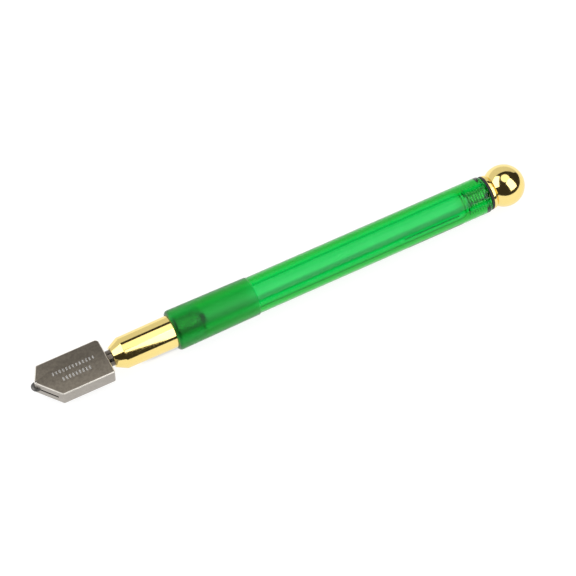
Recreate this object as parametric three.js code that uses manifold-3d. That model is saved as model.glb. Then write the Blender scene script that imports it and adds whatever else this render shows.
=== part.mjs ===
// Pencil-grip glass cutter with an oil reservoir and a wide head.
// Millimetres. The tool's axis lies along X, the wheel at -X and the ball cap at +X, as it lies on a bench.
// Shapes are drawn with x = 0 at the handle's front face and the axis at y = z = 0. The group at the end of
// the file moves them so that the origin is at the bottom centre of the whole tool.
import * as THREE from "three";
import { mergeVertices } from "three/addons/utils/BufferGeometryUtils.js";
import Module from "manifold-3d";

const wasm = await Module();
wasm.setup();

// ---- driving dimensions ----
const SIDES = 24; // facets round a turned piece
const THREAD_SIDES = 16; // facets round a threaded piece, and the steps in one turn of its thread
const GAP = 0.05; // between faces that touch on the real tool
const THREAD_PITCH = 1.0; // both handle threads
const THREAD_CLEARANCE = 0.1; // female thread over male, radially and on each flank
const THREAD_SLOPE = 0.6; // half-width a thread gains per millimetre towards its root
const THREAD_CREST = 0.1; // half-width of a male thread's crest
const THREAD_FOOT = 0.2; // how deep a thread's ridge reaches into its core

const HANDLE_LENGTH = 119.1;
const HANDLE_RADIUS = 6.5;
const GRIP_LENGTH = 29.85;
const GRIP_FRONT_RADIUS = 7.07;
const GRIP_REAR_RADIUS = 6.74;
const HANDLE_EDGE = 1.1; // rounding of the handle's two ends
const RESERVOIR_RADIUS = 3.2;
const RESERVOIR_START = 10.4;
const RESERVOIR_END = 106.6;
const RESERVOIR_DOME = 3.2; // length over which the reservoir narrows to the filling hole
const SEAL_POCKET_RADIUS = 4.75;
const SEAL_POCKET_DEPTH = 1.2;

const NECK_THREAD_RADIUS = 4.0;
const NECK_ROOT_RADIUS = 3.45;
const NECK_THREAD_START = 1.5;
const NECK_END = 9.9; // inner end of the neck's threaded shank
const NECK_REAR_RADIUS = 5.7;
const NECK_FRONT_RADIUS = 5.51;
const CONE_REAR = -18.4;
const CONE_FRONT = -22.05;
const CONE_TIP_RADIUS = 3.6;
const STEM_RADIUS = 2.8;
const STEM_BORE_RADIUS = 2.85;
const STEM_BORE_END = -6.0;
const PORT_RADIUS = 0.9;
const CHAMBER_START = -5.0;
const CHAMBER_RADIUS = 2.2;

const PLUG_THREAD_RADIUS = 3.0;
const PLUG_ROOT_RADIUS = 2.45;
const PLUG_START = 111.1;
const PLUG_THREAD_START = 111.6;
const FLANGE_RADIUS = 6.0;
const FLANGE_START = 120.0;
const FLANGE_END = 121.1;
const WAIST_RADIUS = 4.85;
const WAIST_X = 121.4;
const BALL_X = 126.6;
const BALL_RADIUS = 7.36;
const GASKET_RADIUS = 6.1;

const HEAD_BACK = -23.87;
const HEAD_HALF_WIDTH = 7.05;
const HEAD_HALF_THICKNESS = 3.2;
const HEAD_FAR_CORNER_X = -46.54;
const HEAD_NEAR_CORNER_X = -42.7;
const HEAD_TIP = new THREE.Vector2(-49.52, 1.28);
const HEAD_FAR_ROUNDING = 1.5; // radius of the rear corner at +Y
const HEAD_NEAR_ROUNDING = 0.7; // and of the one at -Y
const HEAD_BEVEL = 0.42;
const STEM_SOCKET_END = -32.0;
const STEM_SOCKET_RADIUS = 2.2;
const OIL_HOLE_RADIUS = 0.7;

const WHEEL_CENTRE = new THREE.Vector2(-48.8, 1.35);
const WHEEL_RADIUS = 1.9;
const WHEEL_HALF_THICKNESS = 0.38;
const WHEEL_RIM_HALF = 0.06;
const AXLE_RADIUS = 0.35;
const AXLE_HOLE_RADIUS = 0.39;
const AXLE_INSET = 0.2; // how far each end of the axle lies below the head's faces
const SLOT_HALF = 0.43;
const SLOT_RADIUS = 2.15;
const SLOT_RUN = 6.37; // from the wheel's centre along the near slanted face

const PRESS_TRAVEL = 0.8; // how far the head is pushed in to open the valve
const SCREW_X = -11.0;
const SCREW_RADIUS = 1.5;
const SCREW_TIP_RADIUS = 0.7;
const POCKET_FLOOR = 1.95; // height of the stem pocket's floor from the axis

const VALVE_BALL_RADIUS = 1.5;
const SEAT_HOLE_RADIUS = 1.0;
const SEAT_REAR = CHAMBER_START + 1.0;
const VALVE_BALL_X = SEAT_REAR + GAP + Math.sqrt(VALVE_BALL_RADIUS ** 2 - SEAT_HOLE_RADIUS ** 2);
const SPRING_MEAN_RADIUS = 1.15;
const SPRING_WIRE_RADIUS = 0.19;
const SPRING_TURNS = 7;
const RETAINER_START = 8.2;
const RETAINER_NOSE_RADIUS = 1.7;
const RETAINER_NOSE_END = 12.1;

// ---- solids ----
function toManifold(geometry) {
  const bare = geometry.index ? geometry.toNonIndexed() : geometry.clone();
  for (const name of Object.keys(bare.attributes)) {
    if (name !== "position") bare.deleteAttribute(name);
  }
  const merged = mergeVertices(bare, 1e-5);
  return new wasm.Manifold(new wasm.Mesh({
    numProp: 3,
    vertProperties: new Float32Array(merged.attributes.position.array),
    triVerts: new Uint32Array(merged.index.array),
  }));
}

function toGeometry(solid) {
  const mesh = solid.getMesh();
  const geometry = new THREE.BufferGeometry();
  geometry.setAttribute("position", new THREE.BufferAttribute(mesh.vertProperties, 3));
  geometry.setIndex(new THREE.BufferAttribute(mesh.triVerts, 1));
  return geometry;
}

// Turns [x, radius] points about the tool's axis. The outline runs so that x grows along the outer side.
// With `flats` the polygon's flats, not its corners, lie at the true radius.
function turned(outline, { flats = false, sides = SIDES } = {}) {
  const scale = flats ? 1 / Math.cos(Math.PI / sides) : 1;
  const points = outline.map(([x, radius]) => new THREE.Vector2(radius * scale, x));
  const geometry = new THREE.LatheGeometry(points, sides);
  geometry.rotateY(Math.PI / sides); // a flat faces down once the lathe's axis lies along X
  geometry.rotateZ(-Math.PI / 2);
  return toManifold(geometry);
}

// A plain round bar from x0 to x1.
const bar = (x0, x1, radius, options) => turned([[x0, 0], [x0, radius], [x1, radius], [x1, 0]], options);

// Points on a quarter ellipse from (x0, r0) to (x1, r1), leaving (x0, r0) along the axis.
function quarter(x0, r0, x1, r1, steps) {
  return Array.from({ length: steps + 1 }, (_, i) => {
    const angle = (i / steps) * (Math.PI / 2);
    return [x0 + (x1 - x0) * Math.sin(angle), r1 + (r0 - r1) * Math.cos(angle)];
  });
}

// An upright round bar (along Z) standing at x, y.
function post(x, y, z0, z1, radius, sides = 16) {
  const geometry = new THREE.CylinderGeometry(radius, radius, z1 - z0, sides);
  geometry.rotateX(Math.PI / 2);
  geometry.translate(x, y, (z0 + z1) / 2);
  return toManifold(geometry);
}

function box(x0, x1, y0, y1, z0, z1) {
  const geometry = new THREE.BoxGeometry(x1 - x0, y1 - y0, z1 - z0);
  geometry.translate((x0 + x1) / 2, (y0 + y1) / 2, (z0 + z1) / 2);
  return toManifold(geometry);
}

function ring(x, meanRadius, wireRadius) {
  const geometry = new THREE.TorusGeometry(meanRadius, wireRadius, 6, SIDES);
  geometry.rotateY(Math.PI / 2);
  geometry.translate(x, 0, 0);
  return toManifold(geometry);
}

// The helical ridge of a right-hand thread from x0 to x1. It reaches into the core under it, and it fades in
// and out over half a turn. `extra` widens it all round, for cutting a female thread.
function threadRidge(x0, x1, rootRadius, crestRadius, extra) {
  const steps = Math.round(((x1 - x0) / THREAD_PITCH) * THREAD_SIDES);
  const innerRadius = rootRadius - THREAD_FOOT;
  const flankExtra = extra * 0.8;
  const halfWidth = (radius) => THREAD_CREST + Math.max(0, crestRadius - radius) * THREAD_SLOPE + flankExtra;
  const positions = [];
  const indices = [];
  for (let i = 0; i <= steps; i += 1) {
    const fade = Math.min(1, (2 * i) / THREAD_SIDES, (2 * (steps - i)) / THREAD_SIDES);
    const crest = rootRadius + (crestRadius + extra - rootRadius) * Math.max(fade, 0.02);
    const angle = ((i + 0.5) / THREAD_SIDES) * 2 * Math.PI;
    const x = x0 + (i / THREAD_SIDES) * THREAD_PITCH;
    const section = [
      [innerRadius, -halfWidth(rootRadius)],
      [rootRadius, -halfWidth(rootRadius)],
      [crest, -halfWidth(crest)],
      [crest, halfWidth(crest)],
      [rootRadius, halfWidth(rootRadius)],
      [innerRadius, halfWidth(rootRadius)],
    ];
    for (const [radius, along] of section) {
      positions.push(x + along, radius * Math.cos(angle), radius * Math.sin(angle));
    }
  }
  const count = 6;
  for (let i = 0; i < steps; i += 1) {
    for (let j = 0; j < count; j += 1) {
      const a = i * count + j;
      const b = i * count + ((j + 1) % count);
      indices.push(a, a + count, b, b, a + count, b + count);
    }
  }
  for (let j = 1; j < count - 1; j += 1) {
    const last = steps * count;
    indices.push(0, j, j + 1);
    indices.push(last, last + j + 1, last + j);
  }
  const geometry = new THREE.BufferGeometry();
  geometry.setAttribute("position", new THREE.Float32BufferAttribute(positions, 3));
  geometry.setIndex(indices);
  return toManifold(geometry);
}

class Helix extends THREE.Curve {
  constructor(x0, x1, radius, turns) {
    super();
    Object.assign(this, { x0, x1, radius, turns });
  }

  getPoint(t, target = new THREE.Vector3()) {
    const angle = t * this.turns * 2 * Math.PI;
    const x = this.x0 + (this.x1 - this.x0) * t;
    return target.set(x, this.radius * Math.cos(angle), this.radius * Math.sin(angle));
  }
}

function roundShape(radius, sides) {
  const shape = new THREE.Shape();
  for (let i = 0; i < sides; i += 1) {
    const angle = (i / sides) * 2 * Math.PI;
    const point = [radius * Math.cos(angle), radius * Math.sin(angle)];
    if (i === 0) shape.moveTo(...point);
    else shape.lineTo(...point);
  }
  shape.closePath();
  return shape;
}

// ---- handle ----
function makeBarrel() {
  const outside = turned([
    [0, 0],
    [0, GRIP_FRONT_RADIUS - HANDLE_EDGE],
    ...quarter(HANDLE_EDGE, GRIP_FRONT_RADIUS, 0, GRIP_FRONT_RADIUS - HANDLE_EDGE, 3).reverse(),
    [GRIP_LENGTH, GRIP_REAR_RADIUS],
    [GRIP_LENGTH + (GRIP_REAR_RADIUS - HANDLE_RADIUS), HANDLE_RADIUS],
    ...quarter(HANDLE_LENGTH - HANDLE_EDGE, HANDLE_RADIUS, HANDLE_LENGTH, HANDLE_RADIUS - HANDLE_EDGE, 3),
    [HANDLE_LENGTH, 0],
  ], { flats: true });
  const neckMinor = NECK_ROOT_RADIUS + THREAD_CLEARANCE;
  const plugMinor = PLUG_ROOT_RADIUS + THREAD_CLEARANCE;
  const domeEnd = RESERVOIR_END + RESERVOIR_DOME;
  const hollow = turned([
    [-1, 0],
    [-1, SEAL_POCKET_RADIUS],
    [SEAL_POCKET_DEPTH, SEAL_POCKET_RADIUS],
    [SEAL_POCKET_DEPTH, neckMinor],
    [RESERVOIR_START, neckMinor],
    [RESERVOIR_START, RESERVOIR_RADIUS],
    ...quarter(RESERVOIR_END, RESERVOIR_RADIUS, domeEnd, plugMinor, 3),
    [HANDLE_LENGTH + 1, plugMinor],
    [HANDLE_LENGTH + 1, 0],
  ], { sides: THREAD_SIDES });
  // Each female thread starts one whole pitch before its male thread, so that the two are in mesh.
  const neckThread = threadRidge(NECK_THREAD_START - THREAD_PITCH, NECK_END + 0.6, neckMinor, NECK_THREAD_RADIUS,
    THREAD_CLEARANCE);
  const plugThread = threadRidge(PLUG_THREAD_START - THREAD_PITCH, HANDLE_LENGTH + 2, plugMinor,
    PLUG_THREAD_RADIUS, THREAD_CLEARANCE);
  return outside.subtract(hollow).subtract(neckThread).subtract(plugThread);
}

// ---- neck and what it holds ----
function makeNeck() {
  const body = turned([
    [CONE_FRONT, 0],
    [CONE_FRONT, CONE_TIP_RADIUS],
    [CONE_REAR, NECK_FRONT_RADIUS],
    [-GAP, NECK_REAR_RADIUS],
    [-GAP, 0],
  ]);
  const shank = turned([
    [-1, 0],
    [-1, NECK_ROOT_RADIUS],
    [NECK_END - 0.4, NECK_ROOT_RADIUS],
    [NECK_END, NECK_ROOT_RADIUS - 0.4],
    [NECK_END, 0],
  ], { sides: THREAD_SIDES });
  const hollow = turned([
    [CONE_FRONT - 1, 0],
    [CONE_FRONT - 1, STEM_BORE_RADIUS],
    [STEM_BORE_END, STEM_BORE_RADIUS],
    [STEM_BORE_END, PORT_RADIUS],
    [CHAMBER_START, PORT_RADIUS],
    [CHAMBER_START, CHAMBER_RADIUS],
    [NECK_END + 1, CHAMBER_RADIUS],
    [NECK_END + 1, 0],
  ]);
  const thread = threadRidge(NECK_THREAD_START, NECK_END - 0.8, NECK_ROOT_RADIUS, NECK_THREAD_RADIUS, 0);
  const screwHole = post(SCREW_X, 0, -NECK_REAR_RADIUS - 1, -STEM_RADIUS + 0.4, SCREW_RADIUS + GAP);
  return body.add(shank).add(thread).subtract(hollow).subtract(screwHole);
}

function makeHeadSetScrew() {
  const outer = -NECK_FRONT_RADIUS + 0.3;
  const shoulder = -STEM_BORE_RADIUS - 0.1;
  const body = post(SCREW_X, 0, outer, shoulder, SCREW_RADIUS);
  const tip = post(SCREW_X, 0, shoulder - 0.1, -POCKET_FLOOR - GAP, SCREW_TIP_RADIUS);
  const slot = box(SCREW_X - 2, SCREW_X + 2, -0.2, 0.2, outer - 1, outer + 0.5);
  return body.add(tip).subtract(slot);
}

const makeNeckORing = () => ring(SEAL_POCKET_DEPTH / 2, 4.11, 0.54);

function makeValveSeat() {
  const disc = bar(CHAMBER_START + GAP, SEAT_REAR, CHAMBER_RADIUS - GAP);
  return disc.subtract(bar(CHAMBER_START - 1, SEAT_REAR + 1, SEAT_HOLE_RADIUS));
}

function makeValveBall() {
  const geometry = new THREE.SphereGeometry(VALVE_BALL_RADIUS, 16, 10);
  geometry.translate(VALVE_BALL_X, 0, 0);
  return toManifold(geometry);
}

function makeValveSpring() {
  const reach = Math.sqrt((VALVE_BALL_RADIUS + SPRING_WIRE_RADIUS) ** 2 - SPRING_MEAN_RADIUS ** 2);
  const start = VALVE_BALL_X + reach + 2 * GAP;
  const end = RETAINER_START - SPRING_WIRE_RADIUS - GAP;
  const geometry = new THREE.ExtrudeGeometry(roundShape(SPRING_WIRE_RADIUS, 6), {
    steps: SPRING_TURNS * 10,
    extrudePath: new Helix(start, end, SPRING_MEAN_RADIUS, SPRING_TURNS),
  });
  return toManifold(geometry);
}

function makeSpringRetainer() {
  const body = turned([
    [RETAINER_START, 0],
    [RETAINER_START, CHAMBER_RADIUS - GAP],
    [NECK_END, CHAMBER_RADIUS - GAP],
    [NECK_END, RETAINER_NOSE_RADIUS],
    [RETAINER_NOSE_END - 0.3, RETAINER_NOSE_RADIUS],
    [RETAINER_NOSE_END, RETAINER_NOSE_RADIUS - 0.3],
    [RETAINER_NOSE_END, 0],
  ]);
  return body.subtract(bar(RETAINER_START - 1, RETAINER_NOSE_END + 1, OIL_HOLE_RADIUS));
}

// ---- head ----
function headOutline() {
  const w = HEAD_HALF_WIDTH;
  const near = HEAD_NEAR_ROUNDING;
  const far = HEAD_FAR_ROUNDING;
  const shape = new THREE.Shape();
  shape.moveTo(HEAD_TIP.x, HEAD_TIP.y);
  shape.lineTo(HEAD_NEAR_CORNER_X, -w);
  shape.lineTo(HEAD_BACK - near, -w);
  shape.absarc(HEAD_BACK - near, -w + near, near, -Math.PI / 2, 0);
  shape.lineTo(HEAD_BACK, w - far);
  shape.absarc(HEAD_BACK - far, w - far, far, 0, Math.PI / 2);
  shape.lineTo(HEAD_FAR_CORNER_X, w);
  shape.closePath();
  return shape;
}

function makeCutterHead() {
  const blank = new THREE.ExtrudeGeometry(headOutline(), {
    depth: 2 * (HEAD_HALF_THICKNESS - HEAD_BEVEL),
    bevelEnabled: true,
    bevelThickness: HEAD_BEVEL,
    bevelSize: HEAD_BEVEL,
    bevelOffset: -HEAD_BEVEL,
    bevelSegments: 1,
    curveSegments: 5,
  });
  blank.translate(0, 0, -(HEAD_HALF_THICKNESS - HEAD_BEVEL));
  const run = new THREE.Vector2(HEAD_NEAR_CORNER_X, -HEAD_HALF_WIDTH).sub(HEAD_TIP).normalize();
  const slotEnd = WHEEL_CENTRE.clone().addScaledVector(run, SLOT_RUN);
  const side = Math.atan2(run.y, run.x);
  const slotShape = new THREE.Shape();
  slotShape.absarc(WHEEL_CENTRE.x, WHEEL_CENTRE.y, SLOT_RADIUS, side + Math.PI / 2, side + 1.5 * Math.PI);
  slotShape.absarc(slotEnd.x, slotEnd.y, SLOT_RADIUS, side - Math.PI / 2, side + Math.PI / 2);
  slotShape.closePath();
  const slot = new THREE.ExtrudeGeometry(slotShape, {
    depth: 2 * SLOT_HALF,
    bevelEnabled: false,
    curveSegments: 16,
  });
  slot.translate(0, 0, -SLOT_HALF);
  const axleHole = post(WHEEL_CENTRE.x, WHEEL_CENTRE.y, -5, 5, AXLE_RADIUS + 0.02);
  return toManifold(blank)
    .subtract(toManifold(slot))
    .subtract(axleHole)
    .subtract(bar(STEM_SOCKET_END, HEAD_BACK + 1, STEM_SOCKET_RADIUS + GAP))
    .subtract(bar(slotEnd.x - 1, STEM_SOCKET_END + 1, OIL_HOLE_RADIUS));
}

function makeHeadStem() {
  const seal = -16.75;
  const pinRadius = 0.6;
  const pinEnd = VALVE_BALL_X - VALVE_BALL_RADIUS - GAP;
  const body = turned([
    [STEM_SOCKET_END + GAP, 0],
    [STEM_SOCKET_END + GAP, STEM_SOCKET_RADIUS],
    [HEAD_BACK + GAP, STEM_SOCKET_RADIUS],
    [HEAD_BACK + GAP, STEM_RADIUS],
    [seal - 0.55, STEM_RADIUS],
    [seal - 0.55, 1.87],
    [seal + 0.55, 1.87],
    [seal + 0.55, STEM_RADIUS],
    [-9.5, STEM_RADIUS],
    [-9.5, 1.8],
    [-8.0, 1.8],
    [-8.0, pinRadius],
    [pinEnd, pinRadius],
    [pinEnd, 0],
  ]);
  const tipReach = SCREW_TIP_RADIUS + 2 * GAP;
  const pocket = box(SCREW_X - tipReach - PRESS_TRAVEL - GAP, SCREW_X + tipReach, -tipReach, tipReach, -4,
    -POCKET_FLOOR + GAP);
  const crossHole = post(-8.75, 0, -3, 3, 0.4, 12);
  return body
    .subtract(bar(STEM_SOCKET_END - 1, -8.75, OIL_HOLE_RADIUS))
    .subtract(crossHole)
    .subtract(pocket);
}

const makeStemORing = () => ring(-16.75, 2.34, 0.42);
const makeOilWick = () => bar(-43.5, -20, OIL_HOLE_RADIUS - 0.1);

function makeWheelAxle() {
  const reach = HEAD_HALF_THICKNESS - AXLE_INSET;
  return post(WHEEL_CENTRE.x, WHEEL_CENTRE.y, -reach, reach, AXLE_RADIUS);
}

function makeCuttingWheel() {
  const land = 1.1; // radius where the V edge begins
  const outline = [
    [AXLE_HOLE_RADIUS, -WHEEL_HALF_THICKNESS],
    [land, -WHEEL_HALF_THICKNESS],
    [WHEEL_RADIUS, -WHEEL_RIM_HALF],
    [WHEEL_RADIUS, WHEEL_RIM_HALF],
    [land, WHEEL_HALF_THICKNESS],
    [AXLE_HOLE_RADIUS, WHEEL_HALF_THICKNESS],
    [AXLE_HOLE_RADIUS, -WHEEL_HALF_THICKNESS],
  ];
  const geometry = new THREE.LatheGeometry(outline.map(([r, z]) => new THREE.Vector2(r, z)), SIDES);
  geometry.rotateX(Math.PI / 2);
  geometry.translate(WHEEL_CENTRE.x, WHEEL_CENTRE.y, 0);
  return toManifold(geometry);
}

// ---- cap ----
function makeCapGasket() {
  const disc = bar(HANDLE_LENGTH + GAP, FLANGE_START - GAP, GASKET_RADIUS);
  return disc.subtract(bar(HANDLE_LENGTH - 1, FLANGE_START + 1, PLUG_ROOT_RADIUS + 0.7));
}

function makeBallCap() {
  const ballPoints = [];
  const first = Math.acos((WAIST_X + 0.15 - BALL_X) / BALL_RADIUS);
  const rings = 13;
  for (let i = 0; i <= rings; i += 1) {
    const angle = first * (1 - i / rings);
    const radius = i === rings ? 0 : BALL_RADIUS * Math.sin(angle);
    ballPoints.push([BALL_X + BALL_RADIUS * Math.cos(angle), radius]);
  }
  const equator = ballPoints.reduce((best, point) => (point[1] > best[1] ? point : best));
  equator[1] = BALL_RADIUS;
  const body = turned([
    [FLANGE_START, 0],
    [FLANGE_START, FLANGE_RADIUS - 0.2],
    [FLANGE_START + 0.2, FLANGE_RADIUS],
    [FLANGE_END - 0.25, FLANGE_RADIUS],
    [FLANGE_END, FLANGE_RADIUS - 0.25],
    [WAIST_X, WAIST_RADIUS],
    ...ballPoints,
  ], { flats: true });
  const plug = turned([
    [PLUG_START, 0],
    [PLUG_START, PLUG_ROOT_RADIUS - 0.4],
    [PLUG_START + 0.4, PLUG_ROOT_RADIUS],
    [FLANGE_START + 0.5, PLUG_ROOT_RADIUS],
    [FLANGE_START + 0.5, 0],
  ], { sides: THREAD_SIDES });
  const thread = threadRidge(PLUG_THREAD_START, HANDLE_LENGTH - 0.3, PLUG_ROOT_RADIUS, PLUG_THREAD_RADIUS, 0);
  return body.add(plug).add(thread);
}

// ---- materials and assembly ----
const material = (color, roughness, metalness, more = {}) =>
  new THREE.MeshStandardMaterial({ color, roughness, metalness, ...more });
const greenAcrylic = () => material(0x0fae3c, 0.12, 0, { transparent: true, opacity: 0.55 });
const polishedBrass = () => material(0xe0b04a, 0.12, 1);
const satinSteel = () => material(0x7a726a, 0.4, 0.9);
const brightSteel = () => material(0xb9b6b0, 0.25, 1);
const darkSteel = () => material(0x57524c, 0.35, 1);
const carbide = () => material(0x4c4a48, 0.3, 0.9);
const blackRubber = () => material(0x141414, 0.8, 0);
const wickFibre = () => material(0xd8cfb8, 0.95, 0);
const darkPlastic = () => material(0x1c211d, 0.6, 0);

const parts = [
  ["barrel", makeBarrel, greenAcrylic],
  ["neck", makeNeck, polishedBrass],
  ["neck_o_ring", makeNeckORing, blackRubber],
  ["head_set_screw", makeHeadSetScrew, brightSteel],
  ["valve_seat", makeValveSeat, blackRubber],
  ["valve_spring", makeValveSpring, brightSteel],
  ["spring_retainer", makeSpringRetainer, darkPlastic],
  ["cutter_head", makeCutterHead, satinSteel],
  ["head_stem", makeHeadStem, darkSteel],
  ["stem_o_ring", makeStemORing, blackRubber],
  ["oil_wick", makeOilWick, wickFibre],
  ["wheel_axle", makeWheelAxle, brightSteel],
  ["valve_ball", makeValveBall, brightSteel],
  ["cutting_wheel", makeCuttingWheel, carbide],
  ["cap_gasket", makeCapGasket, blackRubber],
  ["ball_cap", makeBallCap, polishedBrass],
];

const group = new THREE.Group();
const wheelReach = WHEEL_CENTRE.x - WHEEL_RADIUS;
group.position.set(-(wheelReach + BALL_X + BALL_RADIUS) / 2, 0, BALL_RADIUS);
for (const [name, make, look] of parts) {
  const mesh = new THREE.Mesh(toGeometry(make()), look());
  mesh.name = name;
  group.add(mesh);
}

export default group;
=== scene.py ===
import math

import bmesh
import bpy
from mathutils import Matrix, Vector


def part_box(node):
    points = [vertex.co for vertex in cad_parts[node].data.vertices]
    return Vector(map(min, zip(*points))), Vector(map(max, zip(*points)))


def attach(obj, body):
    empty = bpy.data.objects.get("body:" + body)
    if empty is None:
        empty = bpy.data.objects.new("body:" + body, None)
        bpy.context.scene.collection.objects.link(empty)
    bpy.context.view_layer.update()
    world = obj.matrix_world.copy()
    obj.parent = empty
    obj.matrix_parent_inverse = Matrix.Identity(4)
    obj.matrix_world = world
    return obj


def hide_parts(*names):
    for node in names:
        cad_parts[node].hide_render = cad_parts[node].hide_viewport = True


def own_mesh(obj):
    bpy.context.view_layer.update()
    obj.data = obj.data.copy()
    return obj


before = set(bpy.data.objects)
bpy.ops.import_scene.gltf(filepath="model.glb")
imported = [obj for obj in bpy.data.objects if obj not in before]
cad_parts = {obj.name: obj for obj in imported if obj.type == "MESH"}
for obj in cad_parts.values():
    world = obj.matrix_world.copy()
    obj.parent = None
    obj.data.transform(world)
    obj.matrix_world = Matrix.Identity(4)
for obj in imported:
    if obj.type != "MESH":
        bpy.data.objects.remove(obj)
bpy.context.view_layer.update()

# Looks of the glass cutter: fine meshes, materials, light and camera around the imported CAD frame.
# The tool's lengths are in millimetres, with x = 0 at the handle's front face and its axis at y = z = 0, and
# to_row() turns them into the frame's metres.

MM = 0.001
TURN = 2 * math.pi
FRONT_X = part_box("barrel")[0][0]  # the handle's front face in the row frame
AXIS_Z = (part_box("cap_gasket")[0][2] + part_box("cap_gasket")[1][2]) / 2

# ---- sizes, in millimetres ----
ROUND = 128  # segments round a turned piece
SAME = 1e-6  # two radii that differ by less are the same
FIT = 0.01  # what is left between faces that touch
GAP = 0.05  # what is left between the small inner pieces

HANDLE_LENGTH, HANDLE_RADIUS, HANDLE_EDGE = 119.1, 6.5, 1.1
GRIP_LENGTH, GRIP_FRONT_RADIUS, GRIP_REAR_RADIUS = 29.85, 7.07, 6.74
RESERVOIR_RADIUS, RESERVOIR_START, RESERVOIR_END, RESERVOIR_DOME = 3.2, 10.4, 106.6, 3.2
SEAL_POCKET_RADIUS, SEAL_POCKET_DEPTH = 4.75, 1.2
THREAD_PITCH, THREAD_CLEARANCE = 1.0, 0.1
THREAD_STEP = THREAD_PITCH / 16  # between the rings of points that draw a thread
THREAD_FOOT_HALF, THREAD_FLANK = 0.43, 0.32  # half-width of a ridge at its foot, and its flank's run
FEMALE_EXTRA = 0.04  # how much wider, on each flank, the handle's own threads are

NECK_THREAD_RADIUS, NECK_ROOT_RADIUS, NECK_THREAD_START, NECK_END = 4.0, 3.45, 1.5, 9.9
NECK_REAR_RADIUS, NECK_FRONT_RADIUS, CONE_REAR, CONE_FRONT, CONE_TIP_RADIUS = 5.7, 5.51, -18.4, -22.05, 3.6
STEM_RADIUS, STEM_BORE_RADIUS, STEM_BORE_END = 2.8, 2.85, -6.0
PORT_RADIUS, CHAMBER_START, CHAMBER_RADIUS = 0.9, -5.0, 2.2

PLUG_THREAD_RADIUS, PLUG_ROOT_RADIUS, PLUG_START, PLUG_THREAD_START = 3.0, 2.45, 111.1, 111.6
FLANGE_RADIUS, FLANGE_START, FLANGE_END = 6.0, 120.0, 121.1
WAIST_RADIUS, WAIST_X, BALL_X, BALL_RADIUS = 4.85, 121.4, 126.6, 7.36
GASKET_RADIUS = 6.1

HEAD_BACK, HEAD_HALF_WIDTH, HEAD_HALF_THICKNESS, HEAD_BEVEL = -23.87, 7.05, 3.2, 0.42
HEAD_FAR_CORNER_X, HEAD_NEAR_CORNER_X = -46.54, -42.7
HEAD_FAR_ROUNDING, HEAD_NEAR_ROUNDING = 1.5, 0.7
HEAD_TIP = Vector((-49.52, 1.28))
STEM_SOCKET_END, STEM_SOCKET_RADIUS, OIL_HOLE_RADIUS = -32.0, 2.2, 0.7
WHEEL_CENTRE = Vector((-48.8, 1.35))
WHEEL_RADIUS, WHEEL_HALF_THICKNESS, WHEEL_LAND = 1.9, 0.38, 1.1
AXLE_RADIUS, AXLE_HOLE_RADIUS, AXLE_INSET = 0.35, 0.39, 0.2
SLOT_HALF, SLOT_RADIUS, SLOT_RUN = 0.43, 2.15, 6.37

PRESS_TRAVEL, SCREW_X, SCREW_RADIUS, SCREW_TIP_RADIUS, POCKET_FLOOR = 0.8, -11.0, 1.5, 0.7, 1.95
VALVE_BALL_RADIUS, SEAT_HOLE_RADIUS, SEAT_REAR = 1.5, 1.0, -4.0
VALVE_BALL_X = SEAT_REAR + GAP + math.sqrt(VALVE_BALL_RADIUS ** 2 - SEAT_HOLE_RADIUS ** 2)
SPRING_MEAN_RADIUS, SPRING_WIRE_RADIUS, SPRING_TURNS = 1.15, 0.19, 7
RETAINER_START, RETAINER_NOSE_RADIUS, RETAINER_NOSE_END = 8.2, 1.7, 12.1
NECK_SEAL_RADIUS, NECK_SEAL_WIRE = 4.11, 0.54
STEM_SEAL_X, STEM_SEAL_RADIUS, STEM_SEAL_WIRE = -16.75, 2.34, 0.42
STEM_GROOVE_RADIUS, STEM_GROOVE_HALF = 1.87, 0.55
STEM_NOSE_START, STEM_NOSE_END, STEM_NOSE_RADIUS, STEM_PIN_RADIUS = -9.5, -8.0, 1.8, 0.6
CROSS_HOLE_X, CROSS_HOLE_RADIUS = -8.75, 0.4  # where the oil enters the stem's passage
WICK_START, WICK_END = -43.5, -20.0

ETCHED_ROWS = ((-42.6, -28.2, 0.7, 1.9), (-40.2, -30.6, -2.4, -1.0))  # each from u0 to u1 and v0 to v1
ETCHED_PITCH, ETCHED_WIDTH, ETCHED_LIFT = 1.2, 0.55, 0.012
PRINTED_ROW = (87.0, 107.0, -2.9, -1.3)
PRINTED_PITCH, PRINTED_WIDTH, PRINTED_LIFT = 0.8, 0.5, 0.01


def to_row(x, y, z):
    """A point in tool millimetres as a point in the row frame, in metres."""
    return Vector((FRONT_X + x * MM, y * MM, AXIS_Z + z * MM))


# ---- outlines ----
def rounded(outline, radii, steps=5):
    """The [x, r] outline with its corners rounded: radii maps a corner's index to its radius."""
    points = []
    last = len(outline) - 1
    for i, corner in enumerate(outline):
        if i not in radii or i in (0, last):
            points.append(tuple(corner))
            continue
        here = Vector(corner)
        back = Vector(outline[i - 1]) - here
        ahead = Vector(outline[i + 1]) - here
        reach = radii[i] / math.tan(back.angle(ahead) / 2)
        reach = min(reach, back.length * 0.49, ahead.length * 0.49)
        start = here + back.normalized() * reach
        end = here + ahead.normalized() * reach
        for k in range(steps + 1):
            t = k / steps
            point = start * (1 - t) ** 2 + here * 2 * t * (1 - t) + end * t ** 2
            points.append((point.x, point.y))
    return points


def quarter(x0, r0, x1, r1, steps=8):
    """A quarter ellipse from (x0, r0), where it runs along the axis, to (x1, r1)."""
    angles = [k / steps * TURN / 4 for k in range(steps + 1)]
    return [(x0 + (x1 - x0) * math.sin(a), r1 + (r0 - r1) * math.cos(a)) for a in angles]


def arc(centre_x, centre_y, radius, start, sweep, steps):
    """Points on an arc, from the angle start through the angle sweep, both ends included."""
    angles = [start + sweep * k / steps for k in range(steps + 1)]
    return [(centre_x + radius * math.cos(a), centre_y + radius * math.sin(a)) for a in angles]


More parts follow.
